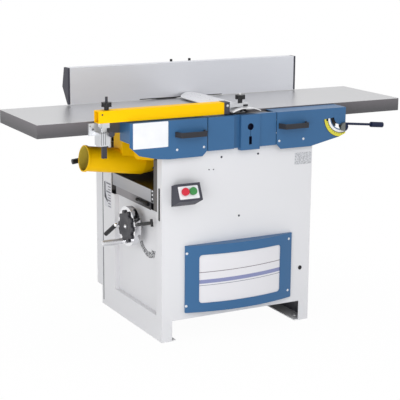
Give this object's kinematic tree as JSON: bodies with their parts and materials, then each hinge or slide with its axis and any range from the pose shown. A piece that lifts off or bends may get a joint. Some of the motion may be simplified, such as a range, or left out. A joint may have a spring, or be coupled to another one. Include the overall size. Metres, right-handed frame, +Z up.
{
  "type": "combination planer thicknesser",
  "caption": "Floor-standing planer thicknesser: cabinet with hinged planing tables, tilting fence, bridge guard, cutterblock, dust hood and a handwheel-raised thicknessing table.",
  "frame": {"origin": "centre of the four anchor holes, on the floor under the cabinet", "axes": "+X along the tables towards the infeed end, +Y to the back, +Z up"},
  "size_m": [1.624, 0.8955, 1.045],
  "materials": {
    "cabinet_white": "smooth white powder coat",
    "blue_paint": "satin blue paint",
    "white_panel": "gloss white",
    "dark_plastic": "dark grey",
    "black_plastic": "near black",
    "red_plastic": "red",
    "green_plastic": "green",
    "cast_dark": "dark machinery enamel",
    "ground_iron": "ground top",
    "motor_grey": "painted housing",
    "steel": "machined",
    "chrome": "bright",
    "belt_rubber": "ribbed",
    "amber_paint": "amber paint",
    "yellow_paint": "bright yellow",
    "aluminium": "anodised"
  },
  "bodies": {
    "frame": {"front_panel": "cabinet_white", "left_panel": "cabinet_white", "right_panel": "cabinet_white", "rear_panel": "cabinet_white", "base_rails": "cabinet_white", "rear_cover": "cabinet_white", "bowed_cover": "blue_paint", "cover_window": "white_panel", "switch_box": "dark_plastic", "front_cheek": "cast_dark", "rear_cheek": "cast_dark", "head_cover": "blue_paint", "pulley_cover": "cabinet_white", "hinge_brackets": "cast_dark", "head_fittings": "steel", "motor": "motor_grey", "drive_belt": "belt_rubber", "dust_hood": "amber_paint", "lift_sleeve": "cast_dark"},
    "outfeed": {"outfeed_table": "ground_iron", "outfeed_hinges": "cast_dark", "outfeed_apron": "blue_paint", "outfeed_handle": "black_plastic", "guard_bracket": "aluminium", "fence_guide": "cast_dark"},
    "infeed_carrier": {"infeed_carrier": "cast_dark", "infeed_apron": "blue_paint", "infeed_handle": "black_plastic", "depth_scale": "yellow_paint"},
    "infeed_table": {"infeed_table": "ground_iron"},
    "depth_lever": {"depth_lever": "black_plastic"},
    "fence_carriage": {"fence_carriage": "steel"},
    "fence": {"fence_profile": "aluminium", "fence_caps": "dark_plastic", "fence_bracket": "aluminium"},
    "fence_slide_lever": {"fence_slide_lever": "black_plastic"},
    "fence_tilt_lever": {"fence_tilt_lever": "black_plastic"},
    "guard_arm": {"guard_post": "aluminium", "guard_arm": "yellow_paint", "guard_end_block": "dark_plastic", "guard_carrier": "steel"},
    "guard_plate": {"guard_plate": "aluminium"},
    "guard_height_knob": {"guard_height_knob": "black_plastic"},
    "guard_clamp_knob": {"guard_clamp_knob": "black_plastic"},
    "cutterblock": {"cutterblock": "steel", "cutter_knives": "steel"},
    "motor_pulley": {"motor_pulley": "steel"},
    "infeed_roller": {"infeed_roller": "steel"},
    "outfeed_roller": {"outfeed_roller": "steel"},
    "feed_sprocket": {"feed_sprocket": "steel"},
    "kickback_fingers": {"kickback_fingers": "cast_dark"},
    "thickness_table": {"thickness_table": "ground_iron"},
    "leadscrew": {"leadscrew": "steel"},
    "handwheel": {"handwheel": "chrome", "wheel_grips": "black_plastic"},
    "crank_handle": {"crank_handle": "chrome"},
    "star_knob": {"star_knob": "black_plastic"},
    "stop_button": {"stop_button": "red_plastic"},
    "start_button": {"start_button": "green_plastic"},
    "feed_lever": {"feed_lever": "black_plastic"}
  },
  "joints": [
    {"name": "outfeed_lift", "type": "hinge", "parent": "frame", "child": "outfeed", "pos_m": [0, 0.236, 0.835], "axis": [-1, 0, 0], "range_deg": [0, 85]},
    {"name": "infeed_lift", "type": "hinge", "parent": "frame", "child": "infeed_carrier", "pos_m": [0, 0.236, 0.835], "axis": [-1, 0, 0], "range_deg": [0, 85]},
    {"name": "depth_lever_turn", "type": "hinge", "parent": "infeed_carrier", "child": "depth_lever", "pos_m": [0.462, -0.3, 0.85], "axis": [0, 1, 0], "range_deg": [0, 80]},
    {"name": "infeed_drop", "type": "slide", "parent": "infeed_carrier", "child": "infeed_table", "axis": [0, 0, -1], "range_m": [0, 0.005]},
    {"name": "fence_slide", "type": "slide", "parent": "outfeed", "child": "fence_carriage", "axis": [0, -1, 0], "range_m": [0, 0.25]},
    {"name": "fence_tilt", "type": "hinge", "parent": "fence_carriage", "child": "fence", "pos_m": [0, 0.193, 0.898], "axis": [-1, 0, 0], "range_deg": [0, 45]},
    {"name": "fence_slide_lever_turn", "type": "hinge", "parent": "fence", "child": "fence_slide_lever", "pos_m": [-0.0306, 0.248, 0.985], "axis": [0, 1, 0], "range_deg": [-90, 0]},
    {"name": "fence_tilt_lever_turn", "type": "hinge", "parent": "fence", "child": "fence_tilt_lever", "pos_m": [0.0564, 0.248, 0.985], "axis": [0, 1, 0], "range_deg": [0, 90]},
    {"name": "guard_lift", "type": "slide", "parent": "outfeed", "child": "guard_arm", "axis": [0, 0, 1], "range_m": [0, 0.075]},
    {"name": "guard_plate_slide", "type": "slide", "parent": "guard_arm", "child": "guard_plate", "axis": [0, -1, 0], "range_m": [0, 0.25]},
    {"name": "guard_height_knob_turn", "type": "hinge", "parent": "guard_arm", "child": "guard_height_knob", "pos_m": [-0.557, -0.271, 0.95], "axis": [0, 0, 1], "continuous": true},
    {"name": "guard_clamp_knob_turn", "type": "hinge", "parent": "guard_arm", "child": "guard_clamp_knob", "pos_m": [0.01, -0.271, 0.95], "axis": [0, 0, 1], "continuous": true},
    {"name": "cutter_spin", "type": "hinge", "parent": "frame", "child": "cutterblock", "pos_m": [0.035, 0, 0.842], "axis": [0, 1, 0], "continuous": true},
    {"name": "motor_spin", "type": "hinge", "parent": "frame", "child": "motor_pulley", "pos_m": [0.2, 0, 0.23], "axis": [0, 1, 0], "continuous": true},
    {"name": "infeed_roller_spin", "type": "hinge", "parent": "frame", "child": "infeed_roller", "pos_m": [-0.033, 0, 0.812], "axis": [0, 1, 0], "continuous": true},
    {"name": "outfeed_roller_spin", "type": "hinge", "parent": "frame", "child": "outfeed_roller", "pos_m": [0.103, 0, 0.812], "axis": [0, 1, 0], "continuous": true},
    {"name": "feed_sprocket_spin", "type": "hinge", "parent": "frame", "child": "feed_sprocket", "pos_m": [-0.07, 0.22, 0.705], "axis": [0, 1, 0], "continuous": true},
    {"name": "kickback_swing", "type": "hinge", "parent": "frame", "child": "kickback_fingers", "pos_m": [-0.085, 0, 0.822], "axis": [0, -1, 0], "range_deg": [0, 45]},
    {"name": "handwheel_turn", "type": "hinge", "parent": "frame", "child": "handwheel", "pos_m": [-0.35, -0.049, 0.423], "axis": [1, 0, 0], "range_deg": [-1980, 1260]},
    {"name": "thickness_lift", "type": "slide", "parent": "frame", "child": "thickness_table", "axis": [0, 0, 1], "range_m": [-0.0221, 0.0141]},
    {"name": "leadscrew_turn", "type": "hinge", "parent": "frame", "child": "leadscrew", "pos_m": [-0.2, -0.049, 0.44], "axis": [0, 0, 1], "range_deg": [-1981, 1261]},
    {"name": "crank_handle_turn", "type": "hinge", "parent": "handwheel", "child": "crank_handle", "pos_m": [-0.42, -0.022, 0.356], "axis": [1, 0, 0], "continuous": true},
    {"name": "star_knob_turn", "type": "hinge", "parent": "handwheel", "child": "star_knob", "pos_m": [-0.381, -0.049, 0.423], "axis": [1, 0, 0], "continuous": true},
    {"name": "stop_press", "type": "slide", "parent": "frame", "child": "stop_button", "axis": [0, 0.9056, -0.4241], "range_m": [0, 0.004], "stiffness_N_per_m": 300},
    {"name": "start_press", "type": "slide", "parent": "frame", "child": "start_button", "axis": [0, 0.9056, -0.4241], "range_m": [0, 0.004], "stiffness_N_per_m": 300},
    {"name": "feed_lever_turn", "type": "hinge", "parent": "frame", "child": "feed_lever", "pos_m": [-0.12, 0.224, 0.69], "axis": [0, 1, 0], "range_deg": [-6, 6]}
  ],
  "couplings": [
    {"joint": "infeed_lift", "follows": "outfeed_lift", "ratio": 1},
    {"joint": "depth_lever_turn", "follows": "infeed_drop", "rad_per_m": 279.22},
    {"joint": "guard_plate_slide", "follows": "fence_slide", "ratio": 1},
    {"joint": "motor_spin", "follows": "cutter_spin", "ratio": 0.57143},
    {"joint": "outfeed_roller_spin", "follows": "infeed_roller_spin", "ratio": 1},
    {"joint": "feed_sprocket_spin", "follows": "infeed_roller_spin", "ratio": 1},
    {"joint": "thickness_lift", "follows": "handwheel_turn", "m_per_rad": 0.00063662},
    {"joint": "leadscrew_turn", "follows": "handwheel_turn", "ratio": 1}
  ]
}
